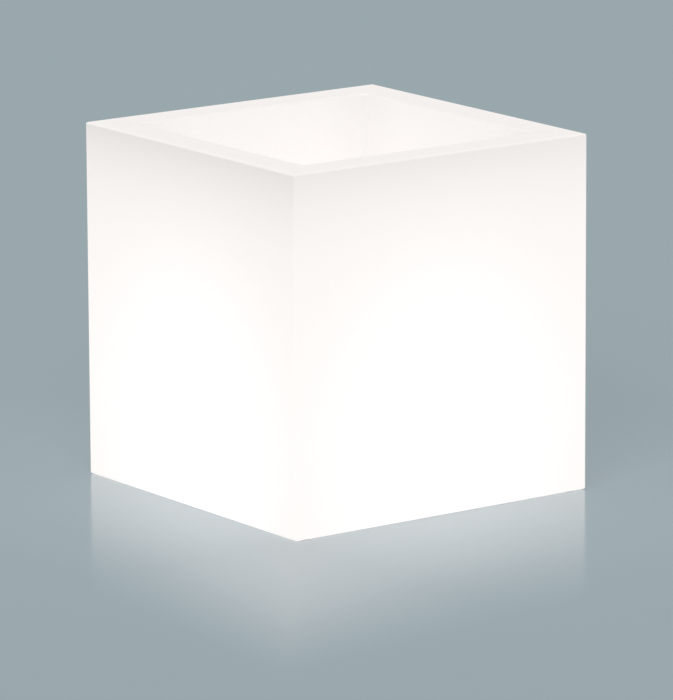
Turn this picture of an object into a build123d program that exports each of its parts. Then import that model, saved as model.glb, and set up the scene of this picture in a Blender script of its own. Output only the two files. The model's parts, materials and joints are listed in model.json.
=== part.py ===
from build123d import *
import os
from math import atan2, cos, degrees, hypot, radians, sin, tan

os.makedirs("parts", exist_ok=True)

# A lit cube planter, in millimetres. +Z is up, -Y is the front, and the origin is on the ground under the
# middle of the cube. A rotomoulded shell carries a lift-out liner in its mouth and, in its base, a
# rechargeable light module that shines into the gap between shell and liner.

# Cube shell
cube_side = 400.0
cube_height = 405.0           # ground to rim
shell_wall = 4.5
base_plate = 5.0              # wall over the recess in the base
edge_radius = 2.0             # outside edge of the rim
base_radius = 1.5             # outside edge of the base
corner_ease = 0.5             # upright corners are this much rounder than the other edges
inside_radius = 3.0           # upright corners inside the shell
seam_radius = 0.8             # eased edges on both sides of the seam in the rim

# Base ring, recess and feet
recess_depth = 18.0
recess_radius = 10.0
weep_radius = 2.5
foot_drop = 1.0               # shell above the ground
foot_radius = 11.0
foot_pocket = 2.0
foot_clearance = 0.2
foot_ease = 0.6               # rounded lower edge of a foot
foot_land = 6.0               # base ring on each side of a foot pocket

# Liner
rim_width = 42.0              # outside of the cube to the planting cavity
liner_wall = 4.0
liner_depth = 200.0
liner_draft = 0.5             # degrees
floor_radius = 6.0            # inside edge of the liner's floor
lip_radius = 2.5              # top edge of the cavity
flange_thickness = 4.0
flange_lap = 7.0              # flange beyond the opening that it rests round
liner_clearance = 1.0         # tub wall to opening
flange_clearance = 0.4        # width of the seam in the rim

# Screws and inserts
m4_radius = 2.0
m4_head_radius = 3.8
m4_head_height = 2.2
m4_key = 2.5
m3_radius = 1.5
m3_head_radius = 2.75
m3_head_height = 1.7
m3_key = 2.0
m25_radius = 1.25
m25_head_radius = 2.2
m25_head_height = 1.4
m25_key = 1.5
thread_clearance = 0.05       # thread to its own hole
hole_clearance = 0.2          # thread to a plain hole
screw_bite = 5.0              # thread in plastic
bore_spare = 1.0              # bore beyond a screw's tip
insert_wall = 0.8
insert_length = 8.0
boss_wall = 3.0
boss_cap = 2.0                # end of a blind boss

# Battery
cell_radius = 9.2
cell_length = 65.2
cell_nub_radius = 3.2
cell_nub_height = 1.2
cell_clearance = 0.3
contact_thickness = 0.5
contact_clearance = 0.2
contact_tab = 5.0
cradle_wall = 1.6
cradle_floor = 2.0
cradle_lip = 4.0              # cradle wall above the cells' axes
cradle_ear = 9.0
ear_thickness = 2.5

# Control board
board_length = 62.0
board_width = 28.0
board_thickness = 1.6
board_inset = 4.0             # edge to screw
post_wall = 1.8
capacitor_radius = 4.0
capacitor_height = 8.0
inductor_side = 8.0
inductor_height = 4.5
chip_side = 7.0
chip_height = 1.2
connector_length = 8.0
connector_width = 5.0
connector_height = 6.0
lead_radius = 0.7
lead_bend = 4.2
lead_pitch = 3.0
lead_straight = 1.6           # straight stretch between a lead's bends
lead_clearance = 2.0

# Light module
core_gap = 3.0                # battery to control board
core_clearance = 2.0          # battery and board to the housing
module_wall = 3.0
module_floor = 3.0
module_flange = 4.0
module_ease = 1.0             # rounded lower edge of the housing
module_clearance = 1.0        # collar to the hole in the base
collar_depth = 11.0
gasket_thickness = 2.0
gasket_inset = 1.0
spreader_thickness = 3.0
spreader_seat = 3.0
spreader_clearance = 0.3
seal_diameter = 2.0
seal_clearance = 0.1
seal_land = 1.3               # wall on each side of the seal's groove
ring_thickness = 3.0
ring_land = 2.0               # ring on each side of its screws
ring_clearance = 0.3
dome_flange = 3.0
dome_wall = 2.5
dome_rise = 34.0
dome_lap = 1.5                # dome's flange over the edge of the spreader
led_board_thickness = 1.6
led_board_clearance = 2.0
led_side = 5.0
led_height = 1.6
led_window = 2.0              # radius of a light window
led_window_depth = 0.2
inner_led_count = 6
inner_led_circle = 13.0
outer_led_count = 12
outer_led_land = 5.0          # outer packages to the edge of their board
led_screw_circle = 24.0

# Button, charging socket and its door
button_radius = 6.0
button_proud = 2.0
button_travel = 1.0
button_clearance = 0.3
button_ease = 0.8
button_flange = 1.5
button_flange_thickness = 1.2
button_seal_diameter = 1.0
button_post_radius = 2.5
button_post_height = 4.8
running_clearance = 0.05
switch_side = 6.0
switch_height = 5.0
plunger_radius = 1.75
plunger_reach = 3.0           # plunger below its switch
plunger_depth = 1.0           # plunger inside its switch
socket_side = 10.0
socket_tube_radius = 4.5
socket_bore_radius = 2.8
socket_bore_depth = 9.0
socket_pin_radius = 1.0
socket_clearance = 0.1
door_seal_rim = 1.5           # pad beyond the socket's tube
door_seal_thickness = 1.0
door_rest_gap = 0.1
door_plug_length = 1.5
door_plug_clearance = 0.5
door_pin_recess = 1.0         # plug to the socket's pin
door_thickness = 2.4
door_land = 2.0               # door beyond its pad
door_tab = 4.0                # finger tab
door_corner = 3.0
knuckle_radius = 2.2
hinge_pin_radius = 1.0
hinge_gap = 0.3
lug_width = 3.5

# Heights, from the ground up
recess_top = foot_drop + recess_depth
plate_top = recess_top + base_plate
module_seat = recess_top - gasket_thickness
module_bottom = module_seat - module_flange
module_inside = module_bottom + module_floor
cradle_bottom = module_bottom + boss_cap + bore_spare + screw_bite
cell_axis = cradle_bottom + cradle_floor + cell_clearance + cell_radius
cradle_top = cell_axis + cradle_lip
contact_top = cell_axis + cell_radius
button_post_top = module_inside + button_flange_thickness + button_post_height
switch_bottom = button_post_top + plunger_reach
board_bottom = switch_bottom + switch_height
board_top = board_bottom + board_thickness
connector_top = board_top + connector_height
core_top = max(contact_top, cradle_top, connector_top, board_top + capacitor_height)
lead_level = core_top + lead_straight + lead_bend
shoulder = lead_level + lead_radius + lead_clearance
collar_top = shoulder + spreader_thickness
led_board_top = collar_top + led_board_thickness
dome_seat = collar_top + dome_flange
ring_top = dome_seat + ring_thickness
ledge_top = cube_height - flange_thickness
ledge_bottom = ledge_top - shell_wall
boss_top = recess_top + insert_length + bore_spare + boss_cap

# The cube and its liner seen from above: half widths and corner radii
corner_radius = max(edge_radius, base_radius) + corner_ease
inside_half = cube_side / 2 - shell_wall
base_ring = 2 * (foot_radius + foot_clearance + foot_land)
ring_middle = cube_side / 2 - base_ring / 2
recess_half = cube_side / 2 - base_ring
draft_slope = tan(radians(liner_draft))
cavity_half = cube_side / 2 - rim_width
cavity_corner = floor_radius + corner_ease + liner_depth * draft_slope
tub_half = cavity_half + liner_wall
tub_corner = cavity_corner + liner_wall
mouth_half = tub_half + liner_clearance
mouth_corner = tub_corner + liner_clearance
flange_half = mouth_half + flange_lap
flange_corner = mouth_corner + flange_lap
rebate_half = flange_half + flange_clearance
rebate_corner = flange_corner + flange_clearance

# The light module seen from above: battery at the back, control board at the front
cell_pitch = 2 * (cell_radius + cell_clearance) + cradle_wall
cradle_inside = cell_length + 2 * contact_thickness
cradle_length = cradle_inside + 2 * cradle_wall
cradle_width = 2 * cell_pitch + cradle_wall
core_depth = cradle_width + core_gap + board_width
cradle_y = (core_depth - cradle_width) / 2
board_y = (board_width - core_depth) / 2
cell_lines = [cradle_y - cell_pitch / 2, cradle_y + cell_pitch / 2]
contact_x = (cell_length + contact_thickness) / 2
ear_x = (cradle_length + cradle_ear) / 2
terminal_x = board_length / 2 - 2 * board_inset - connector_width / 2
terminal_y = board_y + board_width / 2 - connector_width / 2 - board_inset / 2
button_x = -board_length / 4
socket_x = board_length / 4

# The light module's radii, from the battery outwards
core_reach = max(hypot(max(cradle_length, board_length) / 2, core_depth / 2),
                 hypot(cradle_length / 2 + cradle_ear, cradle_y + cradle_ear / 2))
core_radius = core_reach + core_clearance
body_radius = core_radius + module_wall
spreader_radius = core_radius + spreader_seat
pocket_radius = spreader_radius + spreader_clearance
groove_inside = pocket_radius + seal_land
groove_outside = groove_inside + seal_diameter + 2 * seal_clearance
dome_flange_radius = groove_outside + seal_land
ring_step = dome_flange_radius + ring_clearance
ring_screw_circle = ring_step + ring_land + m3_radius
module_radius = ring_screw_circle + m3_radius + ring_land
hole_radius = module_radius + module_clearance
insert_radius = m4_radius + thread_clearance + insert_wall
boss_radius = insert_radius + boss_wall
module_screw_circle = hole_radius + boss_radius
flange_radius = module_screw_circle + boss_radius
dome_inside = spreader_radius - dome_lap
dome_outside = dome_inside + dome_wall
ring_mouth = dome_outside + ring_clearance
led_board_radius = dome_inside - led_board_clearance
outer_led_circle = led_board_radius - outer_led_land - led_side / 2

# Button, socket and door, seen in section
button_bore = button_radius + button_clearance
button_seal_middle = module_bottom + module_floor / 2
button_seal_circle = button_bore - running_clearance - button_seal_diameter / 2
plunger_top = switch_bottom + plunger_depth
door_seal_radius = socket_tube_radius + door_seal_rim
door_seal_top = module_bottom - door_rest_gap
door_top = door_seal_top - door_seal_thickness
door_bottom = door_top - door_thickness
door_width = 2 * (door_seal_radius + door_land)
hinge_y = board_y + door_seal_radius + door_land + hinge_gap + knuckle_radius
hinge_z = module_bottom - hinge_gap - knuckle_radius
door_back = hinge_y - knuckle_radius - hinge_gap
door_front = board_y - door_seal_radius - door_land - door_tab
knuckle_length = door_width - 2 * (lug_width + hinge_gap)
pin_tip = module_bottom + door_plug_length + door_pin_recess
socket_bore_top = module_bottom + socket_bore_depth


def ring_of(radius, count, start=0):
    """Points at even angles on a circle round the origin."""
    angles = [radians(start + 360 * step / count) for step in range(count)]
    return [(radius * cos(angle), radius * sin(angle)) for angle in angles]


def corners_of(half_x, half_y, middle_y=0):
    """The four corners of a rectangle that is centred on the YZ plane."""
    return [(sx * half_x, middle_y + sy * half_y) for sx in (-1, 1) for sy in (-1, 1)]


def posts(points, start, end, radius, mode=Mode.ADD):
    """Upright round posts between two heights, or holes where they are subtracted."""
    with BuildSketch(Plane.XY.offset(start)) as section:
        with Locations(*points):
            Circle(radius)
    extrude(section.sketch, amount=end - start, mode=mode)


def slab(width, depth, start, end, corner=0, points=((0, 0),), mode=Mode.ADD):
    """Rectangular blocks between two heights, with sharp or rounded upright corners."""
    with BuildSketch(Plane.XY.offset(start)) as section:
        with Locations(*points):
            if corner:
                RectangleRounded(width, depth, corner)
            else:
                Rectangle(width, depth)
    extrude(section.sketch, amount=end - start, mode=mode)


def square_slab(half, corner, start, end, mode=Mode.ADD):
    """A rounded square block round the middle of the cube."""
    slab(2 * half, 2 * half, start, end, corner, mode=mode)


def ring_slab(inside, outside, start, end, mode=Mode.ADD):
    """A flat ring round the middle of the cube."""
    with BuildSketch(Plane.XY.offset(start)) as section:
        Circle(outside)
        Circle(inside, mode=Mode.SUBTRACT)
    extrude(section.sketch, amount=end - start, mode=mode)


def turned(points):
    """A solid of revolution round Z from an outline of radius and height."""
    with BuildSketch(Plane.XZ) as section:
        with BuildLine():
            Polyline(*points, close=True)
        make_face()
    revolve(section.sketch, axis=Axis.Z)


def seal_ring(circle, middle, diameter, centre=(0, 0)):
    """A round-section rubber ring at a height."""
    with BuildSketch(Plane.XZ.offset(-centre[1])) as section:
        with Locations((centre[0] + circle, middle)):
            Circle(diameter / 2)
    revolve(section.sketch, axis=Axis((centre[0], centre[1], 0), (0, 0, 1)))


def screws(block, points, seat, tip, radius, head_radius, head_height, key):
    """Screws with round heads and hexagon sockets; the heads stand on the seat, away from the tips."""
    side = 1 if seat > tip else -1
    crown = seat + side * head_height
    posts(points, tip, seat, radius)
    posts(points, seat, crown, head_radius)
    head_edges = block.edges().filter_by(GeomType.CIRCLE).group_by(Axis.Z)[-1 if side > 0 else 0]
    fillet(head_edges, head_height / 2)
    with BuildSketch(Plane.XY.offset(crown)) as socket:
        with Locations(*points):
            RegularPolygon(key / 2, 6, major_radius=False)
    extrude(socket.sketch, amount=-side * head_height / 2, mode=Mode.SUBTRACT)


def inside_edges(block, half, height):
    """The edges of a square opening of a known half width, in a level face."""
    level = block.edges().filter_by_position(Axis.Z, height, height)
    return level.filter_by_position(Axis.X, -half, half).filter_by_position(Axis.Y, -half, half)


def cap_arc(base, start, rise):
    """Centre height, radius and start angle of the arc from a base circle to the top of a dome."""
    radius = (rise ** 2 + base ** 2) / (2 * rise)
    middle = start + rise - radius
    return middle, radius, degrees(atan2(start - middle, base))


module_screw_points = ring_of(module_screw_circle, 6, start=30)
ring_screw_points = ring_of(ring_screw_circle, 6)
led_screw_points = ring_of(led_screw_circle, 3, start=90)
board_screw_points = corners_of(board_length / 2 - board_inset, board_width / 2 - board_inset, board_y)
cradle_screw_points = [(-ear_x, cradle_y), (ear_x, cradle_y)]
foot_points = corners_of(ring_middle, ring_middle)
terminal_points = [(-terminal_x, terminal_y), (terminal_x, terminal_y)]
post_radius = m25_radius + post_wall
ear_post_radius = m3_radius + post_wall

# Rotomoulded shell: five outside walls, a rim with a ledge for the liner, and a base ring round a recess
with BuildPart() as outer_shell:
    square_slab(cube_side / 2, corner_radius, foot_drop, cube_height)
    fillet(outer_shell.edges().group_by(Axis.Z)[-1], edge_radius)
    fillet(outer_shell.edges().group_by(Axis.Z)[0], base_radius)
    square_slab(inside_half, inside_radius, foot_drop + shell_wall, cube_height - shell_wall, Mode.SUBTRACT)
    square_slab(recess_half + shell_wall, recess_radius + shell_wall, foot_drop, plate_top)
    square_slab(recess_half, recess_radius, foot_drop, recess_top, Mode.SUBTRACT)
    square_slab(rebate_half + shell_wall, rebate_corner + shell_wall, ledge_bottom, cube_height)
    square_slab(rebate_half, rebate_corner, ledge_top, cube_height, Mode.SUBTRACT)
    square_slab(mouth_half, mouth_corner, ledge_bottom, ledge_top, Mode.SUBTRACT)
    fillet(inside_edges(outer_shell, rebate_half, cube_height), seam_radius)
    posts(module_screw_points, recess_top, boss_top, boss_radius)
    posts(module_screw_points, recess_top, boss_top - boss_cap, insert_radius, Mode.SUBTRACT)
    posts([(0, 0)], recess_top, boss_top, hole_radius, Mode.SUBTRACT)
    posts(foot_points, foot_drop, foot_drop + foot_pocket, foot_radius + foot_clearance, Mode.SUBTRACT)
    posts(ring_of(ring_middle, 4), foot_drop, foot_drop + shell_wall, weep_radius, Mode.SUBTRACT)

# Liner: a tub with a flange that lies flush in the rim
with BuildPart() as planter_liner:
    with BuildSketch(Plane.XY.offset(cube_height)) as tub_outline:
        RectangleRounded(2 * tub_half, 2 * tub_half, tub_corner)
    extrude(amount=-(liner_depth + liner_wall), taper=liner_draft)
    fillet(planter_liner.edges().group_by(Axis.Z)[0], floor_radius + liner_wall)
    square_slab(flange_half, flange_corner, ledge_top, cube_height)
    fillet(planter_liner.edges().group_by(Axis.Z)[-1], seam_radius)
    with BuildSketch(Plane.XY.offset(cube_height)) as cavity_outline:
        RectangleRounded(2 * cavity_half, 2 * cavity_half, cavity_corner)
    extrude(amount=-liner_depth, taper=liner_draft, mode=Mode.SUBTRACT)
    fillet(inside_edges(planter_liner, cavity_half, cube_height - liner_depth), floor_radius)
    fillet(inside_edges(planter_liner, cavity_half, cube_height), lip_radius)

# Rubber feet in the pockets of the base ring
with BuildPart() as rubber_feet:
    posts(foot_points, 0, foot_drop + foot_pocket, foot_radius)
    fillet(rubber_feet.edges().group_by(Axis.Z)[0], foot_ease)

# Brass inserts in the bosses of the base plate
with BuildPart() as threaded_inserts:
    posts(module_screw_points, recess_top, recess_top + insert_length, insert_radius)
    posts(module_screw_points, recess_top, recess_top + insert_length, m4_radius + thread_clearance,
          Mode.SUBTRACT)

# Housing of the light module: a cup with a flange below, a collar above, posts, and the door's lugs
with BuildPart() as module_housing:
    flare = module_radius - body_radius
    turned([(0, module_bottom), (flange_radius, module_bottom), (flange_radius, module_seat),
            (body_radius, module_seat), (body_radius, collar_top - collar_depth - flare),
            (module_radius, collar_top - collar_depth), (module_radius, collar_top),
            (pocket_radius, collar_top), (pocket_radius, shoulder), (core_radius, shoulder),
            (core_radius, module_inside), (0, module_inside)])
    fillet(module_housing.edges().group_by(Axis.Z)[0], module_ease)
    ring_slab(groove_inside, groove_outside, collar_top, collar_top - seal_diameter - seal_clearance,
              Mode.SUBTRACT)
    posts(board_screw_points, module_inside, board_bottom, post_radius)
    posts(cradle_screw_points, module_inside, cradle_bottom, ear_post_radius)
    posts(board_screw_points, board_bottom - screw_bite - bore_spare, board_bottom,
          m25_radius + thread_clearance, Mode.SUBTRACT)
    posts(cradle_screw_points, cradle_bottom - screw_bite - bore_spare, cradle_bottom,
          m3_radius + thread_clearance, Mode.SUBTRACT)
    posts(ring_screw_points, collar_top - screw_bite - bore_spare, collar_top,
          m3_radius + thread_clearance, Mode.SUBTRACT)
    posts(module_screw_points, module_bottom, module_seat, m4_radius + hole_clearance, Mode.SUBTRACT)
    posts([(button_x, board_y)], module_bottom, module_inside, button_bore, Mode.SUBTRACT)
    posts([(socket_x, board_y)], module_bottom, module_inside, socket_tube_radius + socket_clearance,
          Mode.SUBTRACT)
    for lug_start in (socket_x - door_width / 2, socket_x + door_width / 2 - lug_width):
        with BuildSketch(Plane.YZ.offset(lug_start)) as lug_outline:
            with Locations((hinge_y, hinge_z)):
                Circle(knuckle_radius)
                Rectangle(2 * knuckle_radius, module_bottom - hinge_z, align=(Align.CENTER, Align.MIN))
                Circle(hinge_pin_radius + thread_clearance, mode=Mode.SUBTRACT)
        extrude(amount=lug_width)

# Flat gasket between the housing's flange and the base plate
with BuildPart() as module_gasket:
    ring_slab(hole_radius + gasket_inset, flange_radius - gasket_inset, module_seat, recess_top)
    posts(module_screw_points, module_seat, recess_top, m4_radius + hole_clearance, Mode.SUBTRACT)

with BuildPart() as module_screws:
    screws(module_screws, module_screw_points, module_bottom, recess_top + insert_length - bore_spare,
           m4_radius, m4_head_radius, m4_head_height, m4_key)

# Aluminium disc that closes the cup and spreads the heat of the light board
with BuildPart() as heat_spreader:
    posts([(0, 0)], shoulder, collar_top, spreader_radius)
    posts(led_screw_points, shoulder, collar_top, m3_radius + thread_clearance, Mode.SUBTRACT)
    with BuildSketch(Plane.XY.offset(shoulder)):
        with Locations((0, board_y)):
            SlotCenterToCenter(2 * lead_pitch, 4 * lead_radius)
    extrude(amount=spreader_thickness, mode=Mode.SUBTRACT)

# Round light board and its packages in two circles
with BuildPart() as led_board:
    posts([(0, 0)], collar_top, led_board_top, led_board_radius)
    posts(led_screw_points, collar_top, led_board_top, m3_radius + hole_clearance, Mode.SUBTRACT)
    with BuildSketch(Plane.XY.offset(collar_top)):
        with Locations((0, board_y)):
            SlotCenterToCenter(2 * lead_pitch, 4 * lead_radius)
    extrude(amount=led_board_thickness, mode=Mode.SUBTRACT)

with BuildPart() as led_chips:
    with BuildSketch(Plane.XY.offset(led_board_top)):
        with PolarLocations(inner_led_circle, inner_led_count):
            Rectangle(led_side, led_side)
        with PolarLocations(outer_led_circle, outer_led_count):
            Rectangle(led_side, led_side)
    extrude(amount=led_height)
    led_points = ring_of(inner_led_circle, inner_led_count) + ring_of(outer_led_circle, outer_led_count)
    posts(led_points, led_board_top + led_height - led_window_depth, led_board_top + led_height,
          led_window, Mode.SUBTRACT)

with BuildPart() as led_board_screws:
    screws(led_board_screws, led_screw_points, led_board_top, shoulder + thread_clearance,
           m3_radius, m3_head_radius, m3_head_height, m3_key)

# Clear dome, its seal, and the ring that clamps it
with BuildPart() as lens_dome:
    inner_middle, inner_radius, inner_angle = cap_arc(dome_inside, collar_top, dome_rise)
    outer_rise = dome_rise - dome_flange + dome_wall
    outer_middle, outer_radius, outer_angle = cap_arc(dome_outside, dome_seat, outer_rise)
    with BuildSketch(Plane.XZ):
        with BuildLine():
            Polyline((dome_inside, collar_top), (dome_flange_radius, collar_top),
                     (dome_flange_radius, dome_seat), (dome_outside, dome_seat))
            CenterArc((0, outer_middle), outer_radius, outer_angle, 90 - outer_angle)
            Line((0, collar_top + dome_rise + dome_wall), (0, collar_top + dome_rise))
            CenterArc((0, inner_middle), inner_radius, inner_angle, 90 - inner_angle)
        make_face()
    revolve(axis=Axis.Z)

with BuildPart() as lens_seal:
    seal_ring((groove_inside + groove_outside) / 2, collar_top - (seal_diameter + seal_clearance) / 2,
              seal_diameter)

with BuildPart() as lens_ring:
    turned([(ring_mouth, dome_seat), (ring_step, dome_seat), (ring_step, collar_top),
            (module_radius, collar_top), (module_radius, ring_top), (ring_mouth, ring_top)])
    fillet(lens_ring.edges().group_by(Axis.Z)[-1], module_ease)
    posts(ring_screw_points, collar_top, ring_top, m3_radius + hole_clearance, Mode.SUBTRACT)

with BuildPart() as lens_ring_screws:
    screws(lens_ring_screws, ring_screw_points, ring_top, collar_top - screw_bite,
           m3_radius, m3_head_radius, m3_head_height, m3_key)

# Battery: an open cradle with two troughs, two cells, and a contact strip at each end
with BuildPart() as battery_cradle:
    slab(cradle_length, cradle_width, cradle_bottom, cradle_top, points=[(0, cradle_y)])
    slab(cell_length, 2 * (cell_radius + cell_clearance), cradle_bottom + cradle_floor, cradle_top,
         points=[(0, line) for line in cell_lines], mode=Mode.SUBTRACT)
    slab(contact_thickness, cradle_width - 2 * cradle_wall, cradle_bottom + cradle_floor, cradle_top,
         points=[(-contact_x, cradle_y), (contact_x, cradle_y)], mode=Mode.SUBTRACT)
    slab(cradle_ear, cradle_ear, cradle_bottom, cradle_bottom + ear_thickness, points=cradle_screw_points)
    posts(cradle_screw_points, cradle_bottom, cradle_bottom + ear_thickness, m3_radius + hole_clearance,
          Mode.SUBTRACT)

with BuildPart() as battery_cells:
    cell_points = [(line, cell_axis) for line in cell_lines]
    with BuildSketch(Plane.YZ.offset(-cell_length / 2)):
        with Locations(*cell_points):
            Circle(cell_radius)
    extrude(amount=cell_length - cell_nub_height)
    with BuildSketch(Plane.YZ.offset(cell_length / 2 - cell_nub_height)):
        with Locations(*cell_points):
            Circle(cell_nub_radius)
    extrude(amount=cell_nub_height)

with BuildPart() as battery_contacts:
    for contact_start in (-contact_x - contact_thickness / 2, contact_x - contact_thickness / 2):
        with BuildSketch(Plane.YZ.offset(contact_start)):
            with Locations((cradle_y, cradle_bottom + cradle_floor)):
                Rectangle(cradle_width - 2 * (cradle_wall + contact_clearance), cradle_top - cradle_bottom
                          - cradle_floor, align=(Align.CENTER, Align.MIN))
            with Locations((cell_lines[0], cradle_bottom + cradle_floor)):
                Rectangle(contact_tab, contact_top - cradle_bottom - cradle_floor,
                          align=(Align.CENTER, Align.MIN))
        extrude(amount=contact_thickness)

with BuildPart() as cradle_screws:
    screws(cradle_screws, cradle_screw_points, cradle_bottom + ear_thickness, cradle_bottom - screw_bite,
           m3_radius, m3_head_radius, m3_head_height, m3_key)

# Control board with its parts, its connectors and its screws
with BuildPart() as control_board:
    slab(board_length, board_width, board_bottom, board_top, points=[(0, board_y)])
    posts(board_screw_points, board_bottom, board_top, m25_radius + hole_clearance, Mode.SUBTRACT)

with BuildPart() as board_components:
    part_row = board_y - board_width / 2 + board_inset / 2
    posts([(button_x, part_row + capacitor_radius)], board_top, board_top + capacitor_height,
          capacitor_radius)
    slab(inductor_side, inductor_side, board_top, board_top + inductor_height,
         points=[(socket_x, part_row + inductor_side / 2)])
    slab(chip_side, chip_side, board_top, board_top + chip_height, points=[(0, part_row + chip_side / 2)])

with BuildPart() as wire_connectors:
    slab(connector_length, connector_width, board_top, connector_top, points=[(0, board_y)])
    slab(connector_width, connector_width, board_top, connector_top, points=terminal_points)

with BuildPart() as control_board_screws:
    screws(control_board_screws, board_screw_points, board_top, board_bottom - screw_bite,
           m25_radius, m25_head_radius, m25_head_height, m25_key)

# Push button with its seal, and the switch that it works through a plunger
with BuildPart() as power_button:
    button_axis = [(button_x, board_y)]
    posts(button_axis, module_bottom - button_proud, module_inside, button_radius)
    fillet(power_button.edges().group_by(Axis.Z)[0], button_ease)
    with BuildSketch(Plane.XY.offset(button_seal_middle - button_seal_diameter / 2 - seal_clearance)):
        with Locations(*button_axis):
            Circle(button_radius)
            Circle(button_seal_circle - button_seal_diameter / 2 - running_clearance, mode=Mode.SUBTRACT)
    extrude(amount=button_seal_diameter + 2 * seal_clearance, mode=Mode.SUBTRACT)
    posts(button_axis, module_inside, module_inside + button_flange_thickness, button_bore + button_flange)
    posts(button_axis, module_inside, button_post_top, button_post_radius)

with BuildPart() as button_seal:
    seal_ring(button_seal_circle, button_seal_middle, button_seal_diameter, (button_x, board_y))

with BuildPart() as switch_plunger:
    posts(button_axis, button_post_top, plunger_top, plunger_radius)

with BuildPart() as tact_switch:
    slab(switch_side, switch_side, switch_bottom, board_bottom, points=button_axis)
    posts(button_axis, switch_bottom, plunger_top + button_travel + hole_clearance,
          plunger_radius + running_clearance, Mode.SUBTRACT)

# Charging socket: a body on the housing's floor, a tube through the floor, and a centre pin
with BuildPart() as charge_socket:
    socket_axis = [(socket_x, board_y)]
    slab(socket_side, socket_side, module_inside, board_bottom, points=socket_axis)
    posts(socket_axis, module_bottom, module_inside, socket_tube_radius)
    posts(socket_axis, module_bottom, socket_bore_top, socket_bore_radius, Mode.SUBTRACT)

with BuildPart() as socket_pin:
    posts(socket_axis, pin_tip, socket_bore_top, socket_pin_radius)
    fillet(socket_pin.edges().group_by(Axis.Z)[0], socket_pin_radius / 2)

# Door of the charging socket: it hangs on a pin between the housing's lugs
with BuildPart() as port_door:
    with BuildSketch(Plane.XY.offset(door_bottom)):
        with Locations((socket_x, (door_back + door_front) / 2)):
            RectangleRounded(door_width, door_back - door_front, door_corner)
    extrude(amount=door_thickness)
    with BuildSketch(Plane.YZ.offset(socket_x - knuckle_length / 2)):
        with Locations((hinge_y, hinge_z)):
            Circle(knuckle_radius)
        with Locations(((hinge_y + door_back) / 2 - door_corner / 2, (door_top + door_bottom) / 2)):
            Rectangle(hinge_y - door_back + door_corner, door_thickness)
        with Locations((hinge_y, hinge_z)):
            Circle(hinge_pin_radius + running_clearance, mode=Mode.SUBTRACT)
    extrude(amount=knuckle_length)

with BuildPart() as door_seal:
    posts(socket_axis, door_top, door_seal_top, door_seal_radius)
    posts(socket_axis, door_seal_top, module_bottom + door_plug_length,
          socket_bore_radius - door_plug_clearance)

with BuildPart() as door_pin:
    with BuildSketch(Plane.YZ.offset(socket_x - door_width / 2)):
        with Locations((hinge_y, hinge_z)):
            Circle(hinge_pin_radius)
    extrude(amount=door_width)

# Leads: from the battery's contacts down to the terminals, and from the connector up to the light board
with BuildPart() as battery_leads:
    for side in (-1, 1):
        start = (side * contact_x, cell_lines[0])
        end = (side * terminal_x, terminal_y)
        with BuildLine() as battery_route:
            FilletPolyline((*start, contact_top), (*start, lead_level), (*end, lead_level),
                           (*end, connector_top), radius=lead_bend)
        with BuildSketch(Plane.XY.offset(contact_top)):
            with Locations(start):
                Circle(lead_radius)
        sweep(path=battery_route.wire())

with BuildPart() as led_leads:
    arch_top = led_board_top + lead_straight + lead_bend
    for side in (-1, 1):
        start_x = side * lead_pitch / 2
        end_x = start_x + side * (lead_straight + 2 * lead_bend)
        with BuildLine() as light_route:
            FilletPolyline((start_x, board_y, connector_top), (start_x, board_y, arch_top),
                           (end_x, board_y, arch_top), (end_x, board_y, led_board_top), radius=lead_bend)
        with BuildSketch(Plane.XY.offset(connector_top)):
            with Locations((start_x, board_y)):
                Circle(lead_radius)
        sweep(path=light_route.wire())

pieces = {
    "outer_shell": outer_shell,
    "planter_liner": planter_liner,
    "rubber_feet": rubber_feet,
    "threaded_inserts": threaded_inserts,
    "module_housing": module_housing,
    "module_gasket": module_gasket,
    "module_screws": module_screws,
    "heat_spreader": heat_spreader,
    "led_board": led_board,
    "led_chips": led_chips,
    "led_board_screws": led_board_screws,
    "lens_dome": lens_dome,
    "lens_seal": lens_seal,
    "lens_ring": lens_ring,
    "lens_ring_screws": lens_ring_screws,
    "battery_cradle": battery_cradle,
    "battery_cells": battery_cells,
    "battery_contacts": battery_contacts,
    "cradle_screws": cradle_screws,
    "control_board": control_board,
    "board_components": board_components,
    "wire_connectors": wire_connectors,
    "control_board_screws": control_board_screws,
    "power_button": power_button,
    "button_seal": button_seal,
    "switch_plunger": switch_plunger,
    "tact_switch": tact_switch,
    "charge_socket": charge_socket,
    "socket_pin": socket_pin,
    "port_door": port_door,
    "door_seal": door_seal,
    "door_pin": door_pin,
    "battery_leads": battery_leads,
    "led_leads": led_leads,
}
for name, piece in pieces.items():
    piece.part.label = name
    export_step(piece.part, f"parts/{name}.step")
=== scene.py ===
import json
from math import cos, pi, radians, sin

import bpy
from mathutils import Matrix, Vector


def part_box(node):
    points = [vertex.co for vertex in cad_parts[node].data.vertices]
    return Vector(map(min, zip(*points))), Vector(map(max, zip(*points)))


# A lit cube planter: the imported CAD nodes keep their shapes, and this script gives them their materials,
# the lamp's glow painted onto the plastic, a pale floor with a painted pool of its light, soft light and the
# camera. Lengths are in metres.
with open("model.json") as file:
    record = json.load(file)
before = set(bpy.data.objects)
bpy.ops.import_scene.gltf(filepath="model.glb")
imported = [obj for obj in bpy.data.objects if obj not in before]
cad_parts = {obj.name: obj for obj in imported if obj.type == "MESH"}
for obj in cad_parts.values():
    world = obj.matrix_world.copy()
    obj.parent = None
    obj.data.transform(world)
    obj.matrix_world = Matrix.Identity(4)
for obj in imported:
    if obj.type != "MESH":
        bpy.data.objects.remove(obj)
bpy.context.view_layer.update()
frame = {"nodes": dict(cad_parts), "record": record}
scene = bpy.context.scene
scene.view_settings.view_transform = "Standard"

# Sizes read from the CAD nodes
shell_low, shell_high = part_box("outer_shell")
half = shell_high.x
side = 2 * half
top = shell_high.z
ground_gap = shell_low.z
led_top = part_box("led_chips")[1].z

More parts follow.
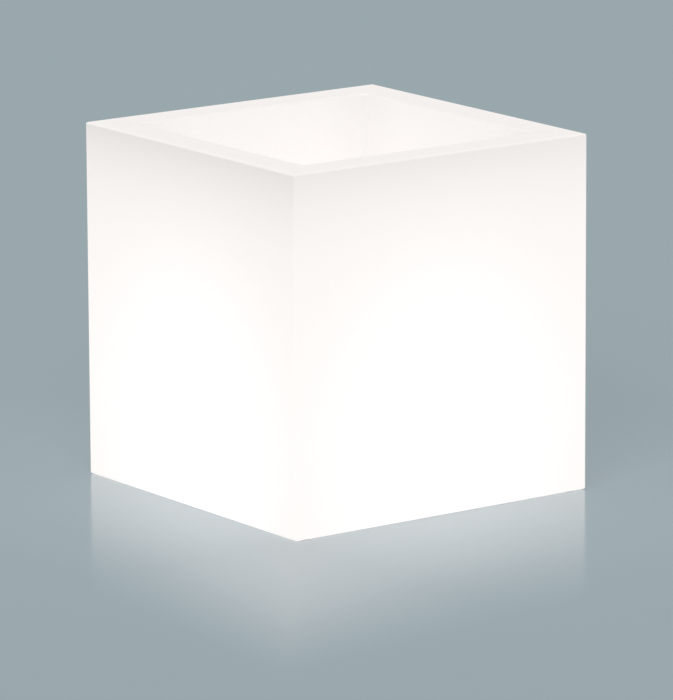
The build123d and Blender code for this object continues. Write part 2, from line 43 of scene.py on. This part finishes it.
# Sizes that the nodes' boxes don't tell
rim_width = 0.042
base_ring_width = 0.0344
cavity_half = half - rim_width
recess_half = half - base_ring_width
outside_depth = 0.0025         # the shell's outside is nearer to the sides of its box than this
inside_depth = 0.0035          # and its inside is further from them than this
inside_top = 0.3 * top         # the shell's inner floor lies below this
rim_bottom = 0.4 * top         # and its rim and the ledge in it lie above this
lip_depth = 0.05               # the liner's rim is less deep than this
floor_depth = 0.10             # and its floor is deeper than this
diagonal_blur = 0.003          # half the width over which one side's shade passes into the next one's
window_depth = 0.0002          # recess of a light window in its package

# Camera, as fitted to the photograph
image_long_side = 700
sensor = 36.0
focal_pixels = 6221.4
camera_yaw = radians(53.93)
camera_pitch = radians(12.46)
camera_roll = radians(-0.28)
camera_distance = 17.4224 * side
camera_right = 0.0025 * side
camera_up = -0.1203 * side

# Light
world_level = 0.75
key_level = 0.30               # what the key lamp adds on a white surface that faces it
key_angle = radians(50)        # the key lamp is this wide, so its shadows are soft
key_from = Vector((-0.5, -0.5, 0.7))  # it shines from this direction
background = (0.323, 0.397, 0.423, 1)  # of the world, as camera, gloss and glass see it

# Floor
floor_size = 60.0
floor_colour = (0.336, 0.410, 0.436)
floor_shade = (0.331, 0.404, 0.430)
floor_painted_light = (0.356, 0.416, 0.450)  # painted pool of the lamp's warm light at the cube's foot
mirror_level = 1.25            # specular level of the floor at the cube's foot
mirror_reach_x = 0.40          # how far from the cube that fades out along X
mirror_reach_y = 0.53          # and along Y
mirror_corner = 0.55           # how much less it fades in front of a corner
mirror_fall = 6.0              # power of that fade
floor_cloud = 0.6              # size of its faint clouds
floor_haze = 0.03              # of the patches that are a little rougher
floor_ripple = 0.02            # and of its ripples
floor_ripple_depth = 0.00001

# Lit plastic
plastic_colour = (0.592, 0.585, 0.578)
plastic_shade = (0.562, 0.555, 0.548)
cloud_size = 0.05
cloud_glow = 0.006             # how much the clouds change the glow, up and down
peel_size = 0.0022             # fine orange peel of the moulded surface
peel_depth = 0.00004
peel_glow = 0.010              # how much the peel changes the glow, up and down
wave_size = 0.012              # broad unevenness
wave_depth = 0.00008

# Painted glow of the lit plastic: emission standing in for the lamp's light through it, with its painted
# shades
outer_tint = (1.099, 0.990, 0.931)  # of the sides, the rim and the outside of the liner's tub
bright_tint = (1.035, 0.995, 0.968)  # of the sides where they glow most
bright_start = 0.50            # level at which the sides' tint starts to change
bright_end = 0.63              # and at which it is the bright one
inner_tint = (1.042, 0.990, 0.968)  # of the cavity and the inside, which light themselves again
side_glow = 0.605
core_glow = 0.088              # more light low on each side, in front of the lamp
core_height = 0.175 * side
core_radius = 0.675 * side     # it dies away over this distance
rim_shade_x = 0.255            # darkening just under the rim on the two sides that face along X
rim_shade_y = 0.198            # and on the two that face along Y
rim_shade_depth = 0.19 * side
edge_shade = 0.054             # darkening towards the upright edges
edge_shade_width = 0.47 * side
edge_shade_depth = 0.40 * side  # it sets in this far below the rim
edge_line = 0.025              # painted shade, less light on rounded edges and corners, which the key lamp hits squarely
rim_glow = 0.358
rim_edge_glow = 0.03           # more light towards the rim's outer edge
rim_edge_width = 0.010
wall_glow = 0.362              # cavity walls, at the rim
wall_glow_rise = 0.42          # more light lower in the cavity, per metre
wall_lean = 0.012              # less light on the two cavity walls that face along X
corner_shade = 0.040           # darkening towards the cavity's corners
corner_shade_width = 0.20 * side
floor_glow = 0.31              # cavity floor
floor_glow_rise = 0.10         # more light over the lamp
floor_glow_radius = 0.10
inside_glow = 0.35             # inside of the shell
base_ring_glow = 0.80          # underside, at its outer edge
recess_glow = 0.20             # underside, in its recess
tub_glow = 0.33                # outside of the liner's tub, under its flange
tub_glow_rise = 0.60           # more light lower down, per metre

# Where a face counts as level or as an underside: upward part of its direction at the start and the end
shell_level = (0.0, 0.4)
shell_under = (-0.3, -0.8)
liner_level = (0.1, 0.6)
liner_under = (-0.4, -0.9)
liner_outward = (0.0, 0.02)    # and as the tub's outside: outward part times the distance from the middle


class Finish:
    """A material with one Principled shader, and short ways to make the nodes that feed it."""

    def __init__(self, name, **constants):
        self.material = bpy.data.materials.new(name)
        self.material.use_nodes = True
        self.tree = self.material.node_tree
        self.shader = self.tree.nodes["Principled BSDF"]
        for socket, value in constants.items():
            self.shader.inputs[socket.replace("_", " ").title().replace("Ior", "IOR")].default_value = value

    def node(self, kind, inputs=None, **settings):
        """A new node. Its inputs are numbers, colours or other nodes' outputs."""
        made = self.tree.nodes.new(kind)
        for setting, value in settings.items():
            setattr(made, setting, value)
        for socket, value in (inputs or {}).items():
            self.feed(made.inputs[socket], value)
        return made

    def feed(self, socket, value):
        if isinstance(value, bpy.types.NodeSocket):
            self.tree.links.new(value, socket)
        else:
            socket.default_value = value

    def set(self, socket, value):
        self.feed(self.shader.inputs[socket], value)

    def math(self, operation, first, second=0.0):
        return self.node("ShaderNodeMath", {0: first, 1: second}, operation=operation).outputs[0]

    def add(self, *values):
        total = values[0]
        for value in values[1:]:
            total = self.math("ADD", total, value)
        return total

    def subtract(self, first, second):
        return self.math("SUBTRACT", first, second)

    def multiply(self, first, second):
        return self.math("MULTIPLY", first, second)

    def absolute(self, value):
        return self.math("ABSOLUTE", value)

    def length(self, first, second):
        return self.math("SQRT", self.add(self.multiply(first, first), self.multiply(second, second)))

    def scaled(self, colour, level):
        """A colour times a level."""
        return self.node("ShaderNodeVectorMath", {0: colour, "Scale": level}, operation="SCALE").outputs[0]

    def place(self):
        return self.node("ShaderNodeTexCoord").outputs["Object"]

    def xyz(self, vector):
        return self.node("ShaderNodeSeparateXYZ", {0: vector}).outputs[:3]

    def facing(self):
        """The surface's own direction, as x, y and z."""
        return self.xyz(self.node("ShaderNodeTexCoord").outputs["Normal"])

    def spread(self, value, start, end, low=0.0, high=1.0, shape="SMOOTHSTEP"):
        """Low where value is at start, high where it is at end, smooth or linear between."""
        inputs = {"Value": value, "From Min": start, "From Max": end, "To Min": low, "To Max": high}
        return self.node("ShaderNodeMapRange", inputs, interpolation_type=shape).outputs[0]

    def vary(self, noise, low, high, weak=0.3, strong=0.7):
        """Low where a noise is weak, high where it is strong."""
        return self.spread(noise, weak, strong, low, high)

    def fade(self, distance, depth, amount):
        """Amount at distance 0, dying away over depth."""
        return self.multiply(self.math("EXPONENT", self.multiply(distance, -1 / depth)), amount)

    def blend(self, factor, first, second):
        """First where factor is 0, second where it is 1, for numbers."""
        inputs = {0: factor, 2: first, 3: second}
        return self.node("ShaderNodeMix", inputs, data_type="FLOAT").outputs[0]

    def tones(self, factor, first, second):
        """First where factor is 0, second where it is 1, for colours, of which second may be an output."""
        if not isinstance(second, bpy.types.NodeSocket):
            second = (*second, 1)
        inputs = {0: factor, 6: (*first, 1), 7: second}
        return self.node("ShaderNodeMix", inputs, data_type="RGBA").outputs[2]

    def noise(self, size, detail=2.0, stretch=(1, 1, 1)):
        """Cloudy noise with features of about that size."""
        mapped = self.node("ShaderNodeMapping", {"Vector": self.place(), "Scale": stretch}).outputs[0]
        inputs = {"Vector": mapped, "Scale": 1 / size, "Detail": detail}
        return self.node("ShaderNodeTexNoise", inputs).outputs[0]

    def rings(self, spacing):
        """Turning marks round the Z axis. The wave's own spacing is a tenth of pi over its scale."""
        inputs = {"Vector": self.place(), "Scale": pi / 10 / spacing, "Distortion": 0.4, "Detail": 1.0}
        return self.node("ShaderNodeTexWave", inputs, wave_type="RINGS", rings_direction="Z").outputs["Fac"]

    def relief(self, *layers):
        """Bumps from pairs of a height from 0 to 1 and its depth in metres."""
        normal = None
        for height, depth in layers:
            bump = self.node("ShaderNodeBump", {"Height": height, "Distance": depth, "Strength": 1.0})
            if normal:
                self.feed(bump.inputs["Normal"], normal)
            normal = bump.outputs[0]
        self.set("Normal", normal)


def polyethylene(name, glow):
    """Satin white rotomoulded plastic that the lamp shines through, its light painted as emission. Glow gives
    the painted light's level and tint.
    """
    finish = Finish(name, specular_ior_level=0.35, emission_strength=1.0)
    clouds = finish.noise(cloud_size, 3)
    peel = finish.noise(peel_size, 2)
    waves = finish.noise(wave_size, 1)
    finish.set("Base Color", finish.tones(clouds, plastic_colour, plastic_shade))
    finish.set("Roughness", finish.vary(peel, 0.42, 0.56))
    finish.relief((peel, peel_depth), (waves, wave_depth))
    level, tint = glow(finish)
    cloudy = finish.vary(clouds, -cloud_glow, cloud_glow, 0.2, 0.8)
    grainy = finish.vary(peel, -peel_glow, peel_glow)
    finish.set("Emission Color", finish.scaled(tint, finish.add(level, cloudy, grainy)))
    return finish.material


def painted_rounding_shade(finish):
    """Painted shade on a rounded edge or corner: most where the surface faces halfway between two flat faces.
    """
    x, y, upward = finish.facing()
    upright = finish.absolute(finish.multiply(x, y))
    sideways = finish.math("MAXIMUM", finish.absolute(x), finish.absolute(y))
    turned = finish.math("MAXIMUM", upright, finish.multiply(sideways, upward))
    return finish.spread(turned, 0.0, 0.5, 0.0, -edge_line)


def shell_glow(finish):
    """Painted glow: brightest low on the sides, with painted shade under the rim and towards the upright
    edges.
    """
    x, y, z = finish.xyz(finish.place())
    upward = finish.facing()[2]
    off_x = finish.absolute(x)
    off_y = finish.absolute(y)
    reach = finish.math("MAXIMUM", off_x, off_y)
    across = finish.math("MINIMUM", off_x, off_y)
    from_edge = finish.subtract(half, across)
    under_rim = finish.subtract(top, z)

    faces_x = finish.subtract(off_x, off_y)
    full_shade = finish.spread(faces_x, -diagonal_blur, diagonal_blur, rim_shade_y, rim_shade_x)
    rim = finish.fade(under_rim, rim_shade_depth, full_shade)
    below = finish.subtract(1.0, finish.fade(under_rim, edge_shade_depth, 1.0))
    edges = finish.multiply(below, finish.spread(from_edge, 0.0, edge_shade_width, edge_shade, 0.0))
    from_core = finish.length(across, finish.subtract(z, core_height))
    core = finish.spread(from_core, core_radius, 0.0, 0.0, core_glow)
    sides = finish.subtract(finish.add(core, side_glow), finish.add(rim, edges))

    skin = finish.spread(reach, half - inside_depth, half - outside_depth)
    walls = finish.blend(skin, inside_glow, sides)
    high_up = finish.spread(z, inside_top, rim_bottom)
    rim_edge = finish.fade(finish.subtract(half, reach), rim_edge_width, rim_edge_glow)
    level_faces = finish.blend(high_up, inside_glow, finish.add(rim_edge, rim_glow))
    level_part = finish.spread(upward, *shell_level)
    # with painted shade on rounded edges and corners
    upper = finish.add(finish.blend(level_part, walls, level_faces), painted_rounding_shade(finish))
    underside = finish.spread(reach, recess_half, half, recess_glow, base_ring_glow)
    level = finish.blend(finish.spread(upward, *shell_under), upper, underside)

    outside = finish.blend(level_part, skin, high_up)
    outside_tint = finish.tones(finish.spread(sides, bright_start, bright_end), outer_tint, bright_tint)
    return level, finish.tones(outside, inner_tint, outside_tint)


def liner_glow(finish):
    """Painted glow: an even rim, cavity walls that brighten downwards with painted shade towards their
    corners, and a floor with a painted pool of light over the lamp.
    """
    x, y, z = finish.xyz(finish.place())
    normal_x, normal_y, upward = finish.facing()
    off_x = finish.absolute(x)
    off_y = finish.absolute(y)
    across = finish.math("MINIMUM", off_x, off_y)
    depth = finish.subtract(top, z)
    outward = finish.add(finish.multiply(x, normal_x), finish.multiply(y, normal_y))

    faces_x = finish.subtract(off_x, off_y)
    walls = finish.spread(faces_x, -diagonal_blur, diagonal_blur, wall_glow, wall_glow - wall_lean)
    from_corner = finish.subtract(cavity_half, across)
    corners = finish.spread(from_corner, 0.0, corner_shade_width, -corner_shade, 0.0)
    walls = finish.add(walls, corners, finish.multiply(depth, wall_glow_rise))
    over_lamp = finish.fade(finish.length(x, y), floor_glow_radius, floor_glow_rise)

    low_down = finish.spread(depth, lip_depth, floor_depth)
    level_faces = finish.blend(low_down, rim_glow, finish.add(over_lamp, floor_glow))
    tub = finish.add(finish.multiply(depth, tub_glow_rise), tub_glow)
    outer_face = finish.spread(outward, *liner_outward)
    upright = finish.blend(outer_face, walls, tub)
    level_part = finish.spread(upward, *liner_level)
    # with painted shade on rounded edges and corners
    upper = finish.add(finish.blend(level_part, upright, level_faces), painted_rounding_shade(finish))
    under_face = finish.spread(upward, *liner_under)
    level = finish.blend(under_face, upper, tub)

    on_rim = finish.subtract(level_part, low_down)
    on_tub = finish.math("MAXIMUM", outer_face, under_face)
    return level, finish.tones(finish.math("MAXIMUM", on_rim, on_tub), inner_tint, outer_tint)


def moulded(name, colour, roughness, grain, grain_depth, mottle):
    """Moulded plastic or rubber: colour that darkens by the factor mottle in patches, and a fine grain."""
    finish = Finish(name)
    patch_size = 0.012
    swing = 0.06
    grains = finish.noise(grain, 2)
    darker = [mottle * channel for channel in colour]
    finish.set("Base Color", finish.tones(finish.noise(patch_size, 3), colour, darker))
    finish.set("Roughness", finish.vary(grains, roughness - swing, roughness + swing))
    finish.relief((grains, grain_depth))
    return finish.material


def metal(name, colour, roughness, marks, mark_depth):
    """Bare metal with fine tool marks and faint stains. Marks is a function of the finish."""
    finish = Finish(name, metallic=1.0)
    stain_size = 0.008
    stain_shade = 0.86
    smoother = 0.06
    rougher = 0.08
    stains = finish.noise(stain_size, 4)
    duller = [stain_shade * channel for channel in colour]
    finish.set("Base Color", finish.tones(stains, colour, duller))
    finish.set("Roughness", finish.vary(stains, roughness - smoother, roughness + rougher, 0.25, 0.75))
    finish.relief((marks(finish), mark_depth))
    return finish.material


def circuit_board(name, colour, track_colour, roughness):
    """Solder mask over copper: tracks show as slightly raised lines in their own tone."""
    finish = Finish(name, coat_weight=0.3, coat_roughness=0.12)
    track_pitch = 0.0025
    track_height = 0.00003
    haze_size = 0.003
    smoother = 0.05
    rougher = 0.08
    black = (0, 0, 0, 1)
    white = (1, 1, 1, 1)
    inputs = {"Vector": finish.place(), "Scale": 1 / track_pitch, "Mortar Size": 0.06, "Mortar Smooth": 0.3,
              "Brick Width": 1.6, "Row Height": 0.45, "Color1": black, "Color2": black, "Mortar": white}
    tracks = finish.node("ShaderNodeTexBrick", inputs).outputs["Fac"]
    finish.set("Base Color", finish.tones(tracks, colour, track_colour))
    finish.set("Roughness", finish.vary(finish.noise(haze_size), roughness - smoother, roughness + rougher))
    finish.relief((tracks, track_height))
    return finish.material


def led_package(name):
    """White packages with a lit phosphor window in the recess of each."""
    finish = Finish(name, roughness=0.35, emission_strength=1.0)
    body_colour = (0.85, 0.85, 0.83)
    phosphor_colour = (0.90, 0.72, 0.30)
    lamp_light = (2.4, 2.2, 1.8)
    grain_size = 0.0004
    grain_depth = 0.00001
    window_level = (0.5, 0.9)  # upward part of a face's direction where the light starts and is full
    height = finish.xyz(finish.place())[2]
    window = finish.spread(height, led_top - 0.6 * window_depth, led_top - 0.9 * window_depth)
    upward = finish.spread(finish.facing()[2], *window_level)
    lit = finish.multiply(window, upward)
    finish.set("Base Color", finish.tones(lit, body_colour, phosphor_colour))
    finish.relief((finish.noise(grain_size), grain_depth))
    finish.set("Emission Color", finish.scaled(lamp_light, lit))
    return finish.material


def clear_lens(name):
    """Clear polycarbonate with a faint haze."""
    finish = Finish(name, base_color=(0.93, 0.96, 0.97, 1), transmission_weight=1.0, ior=1.58)
    haze_size = 0.004
    flow_size = 0.006
    flow_depth = 0.00002
    finish.set("Roughness", finish.vary(finish.noise(haze_size, 3), 0.05, 0.12))
    finish.relief((finish.noise(flow_size, 1), flow_depth))
    return finish.material


def cell_sleeve(name):
    """Shrink sleeve: glossy, with long faint wrinkles and a darker band at each end."""
    finish = Finish(name, coat_weight=0.4, coat_roughness=0.15)
    sleeve_colour = (0.06, 0.20, 0.40)
    band_colour = (0.03, 0.08, 0.17)
    band_start = 0.0285        # from the middle of a cell
    band_end = 0.0292
    wrinkle_size = 0.004
    wrinkle_depth = 0.00012
    from_middle = finish.absolute(finish.xyz(finish.place())[0])
    bands = finish.spread(from_middle, band_start, band_end)
    wrinkles = finish.noise(wrinkle_size, 2, stretch=(0.15, 1, 1))
    finish.set("Base Color", finish.tones(bands, sleeve_colour, band_colour))
    finish.set("Roughness", finish.vary(wrinkles, 0.25, 0.38))
    finish.relief((wrinkles, wrinkle_depth))
    return finish.material


def lead_insulation(name, node, colour, other):
    """Two insulated leads side by side, one of each colour, which change over at the middle of the node."""
    finish = Finish(name)
    low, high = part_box(node)
    middle = (low.x + high.x) / 2
    change = 0.0002
    skin_size = 0.0012
    skin_depth = 0.00003
    x = finish.xyz(finish.place())[0]
    second = finish.spread(x, middle - change, middle + change)
    skin = finish.noise(skin_size, 2)
    finish.set("Base Color", finish.tones(second, colour, other))
    finish.set("Roughness", finish.vary(skin, 0.40, 0.55))
    finish.relief((skin, skin_depth))
    return finish.material


def turning(finish):
    """Fine rings, from a lathe."""
    ring_spacing = 0.0005
    return finish.rings(ring_spacing)


def brushing(finish):
    """Fine upright streaks."""
    streak_width = 0.0006
    return finish.noise(streak_width, 3, stretch=(1, 1, 0.1))


def rolling(finish):
    """Fine streaks along X."""
    streak_width = 0.0008
    return finish.noise(streak_width, 2, stretch=(0.1, 1, 1))


# Each moulded finish: colour, roughness, size and depth of its grain, and how dark its mottling is
mouldings = {
    "foot_rubber": ((0.035, 0.035, 0.037), 0.78, 0.0012, 0.00006, 0.6),
    "housing_plastic": ((0.62, 0.635, 0.65), 0.48, 0.0007, 0.00005, 0.93),
    "seal_silicone": ((0.075, 0.08, 0.09), 0.62, 0.0015, 0.00003, 0.8),
    "cradle_plastic": ((0.018, 0.018, 0.02), 0.50, 0.0008, 0.00004, 0.7),
    "component_black": ((0.02, 0.02, 0.022), 0.45, 0.0004, 0.00002, 0.7),
    "connector_plastic": ((0.72, 0.68, 0.55), 0.42, 0.0008, 0.00002, 0.92),
    "button_rubber": ((0.03, 0.032, 0.035), 0.66, 0.0006, 0.00004, 0.75),
    "switch_plastic": ((0.02, 0.02, 0.022), 0.40, 0.0005, 0.00002, 0.7),
    "socket_plastic": ((0.018, 0.018, 0.02), 0.28, 0.0006, 0.00001, 0.7),
    "door_plastic": ((0.26, 0.27, 0.29), 0.50, 0.0006, 0.00004, 0.88),
}
# Each metal: colour, roughness, tool marks and their depth
metals = {
    "insert_brass": ((0.72, 0.52, 0.22), 0.30, brushing, 0.00004),
    "screw_steel": ((0.56, 0.56, 0.57), 0.28, brushing, 0.00002),
    "spreader_aluminium": ((0.72, 0.73, 0.74), 0.32, turning, 0.00002),
    "contact_nickel": ((0.60, 0.58, 0.54), 0.25, rolling, 0.00001),
}
# Each board: colours of its mask and of the tracks under it, and roughness
boards = {
    "led_board_mask": ((0.84, 0.84, 0.82), (0.74, 0.74, 0.71), 0.35),
    "board_mask": ((0.012, 0.10, 0.035), (0.03, 0.18, 0.06), 0.32),
}
# Each pair of leads: their node and the two colours
leads = {
    "battery_lead": ("battery_leads", (0.40, 0.015, 0.012), (0.012, 0.012, 0.013)),
    "led_lead": ("led_leads", (0.70, 0.70, 0.67), (0.02, 0.02, 0.022)),
}
finishes = {
    "shell_plastic": polyethylene("shell_plastic", shell_glow),
    "liner_plastic": polyethylene("liner_plastic", liner_glow),
    "led_package": led_package("led_package"),
    "lens_clear": clear_lens("lens_clear"),
    "cell_wrap": cell_sleeve("cell_wrap"),
}
for make, kinds in ((moulded, mouldings), (metal, metals), (circuit_board, boards), (lead_insulation, leads)):
    for slot, values in kinds.items():
        finishes[slot] = make(slot, *values)
for part in frame["record"]["subparts"]:
    node = frame["nodes"][part["node"]]
    node.data.materials.clear()
    node.data.materials.append(finishes[part["material_slot"]])


def floor_finish():
    """Pale polished floor: warmer near the cube with a painted pool of the lamp's light, and a faint mirror
    of it.
    """
    finish = Finish("floor")
    x, y = finish.xyz(finish.place())[:2]
    fade_x = finish.spread(finish.absolute(x), half, half + mirror_reach_x, 1.0, 0.0, "LINEAR")
    fade_y = finish.spread(finish.absolute(y), half, half + mirror_reach_y, 1.0, 0.0, "LINEAR")
    beside = finish.math("MINIMUM", fade_x, fade_y)
    past_corner = finish.subtract(1.0, finish.math("MAXIMUM", fade_x, fade_y))
    near = finish.multiply(beside, finish.add(finish.multiply(past_corner, mirror_corner), 1.0))
    fade = finish.math("POWER", near, mirror_fall)
    plain = finish.tones(finish.noise(floor_cloud, 2), floor_colour, floor_shade)
    # painted pool of the lamp's warm light, fading away from the cube's foot
    finish.set("Base Color", finish.tones(finish.spread(near, 1.0, 0.0), floor_painted_light, plain))
    finish.set("Roughness", finish.vary(finish.noise(floor_haze, 2), 0.10, 0.14))
    finish.set("Specular IOR Level", finish.multiply(fade, mirror_level))
    finish.relief((finish.noise(floor_ripple, 1), floor_ripple_depth))
    return finish.material


bpy.ops.mesh.primitive_plane_add(size=floor_size)
floor = bpy.context.object
floor.name = "floor"
floor.data.materials.append(floor_finish())

# Even white light from all round. What the camera, gloss and glass see of it is the pale background.
world = bpy.data.worlds.new("studio")
scene.world = world
world.use_nodes = True
nodes = world.node_tree.nodes
links = world.node_tree.links
even_light = nodes["Background"]
even_light.inputs["Color"].default_value = (1, 1, 1, 1)
even_light.inputs["Strength"].default_value = world_level
pale = nodes.new("ShaderNodeBackground")
pale.inputs["Color"].default_value = background
light_path = nodes.new("ShaderNodeLightPath")
seen = light_path.outputs["Is Camera Ray"]
for ray in ("Is Glossy Ray", "Is Transmission Ray"):
    either = nodes.new("ShaderNodeMath")
    either.operation = "MAXIMUM"
    links.new(seen, either.inputs[0])
    links.new(light_path.outputs[ray], either.inputs[1])
    seen = either.outputs[0]
choice = nodes.new("ShaderNodeMixShader")
links.new(seen, choice.inputs[0])
links.new(even_light.outputs[0], choice.inputs[1])
links.new(pale.outputs[0], choice.inputs[2])
links.new(choice.outputs[0], nodes["World Output"].inputs["Surface"])

# One wide soft lamp in front, high up
key = bpy.data.objects.new("key", bpy.data.lights.new("key", "SUN"))
key.data.energy = pi * key_level
key.data.angle = key_angle
key.rotation_mode = "QUATERNION"
key.rotation_quaternion = (-key_from).to_track_quat("-Z", "Y")
scene.collection.objects.link(key)

# Camera
camera = bpy.data.objects.new("camera", bpy.data.cameras.new("camera"))
camera.data.sensor_width = sensor
camera.data.lens = focal_pixels / image_long_side * sensor
level_forward = Vector((cos(camera_yaw), sin(camera_yaw), 0))
forward = cos(camera_pitch) * level_forward - sin(camera_pitch) * Vector((0, 0, 1))
level_right = Vector((sin(camera_yaw), -cos(camera_yaw), 0))
level_up = level_right.cross(forward)
right = cos(camera_roll) * level_right + sin(camera_roll) * level_up
up = cos(camera_roll) * level_up - sin(camera_roll) * level_right
middle = Vector((0, 0, half + ground_gap))
place = middle - camera_distance * forward + camera_right * right + camera_up * up
camera.matrix_world = Matrix.Translation(place) @ Matrix((right, up, -forward)).transposed().to_4x4()
scene.collection.objects.link(camera)
scene.camera = camera
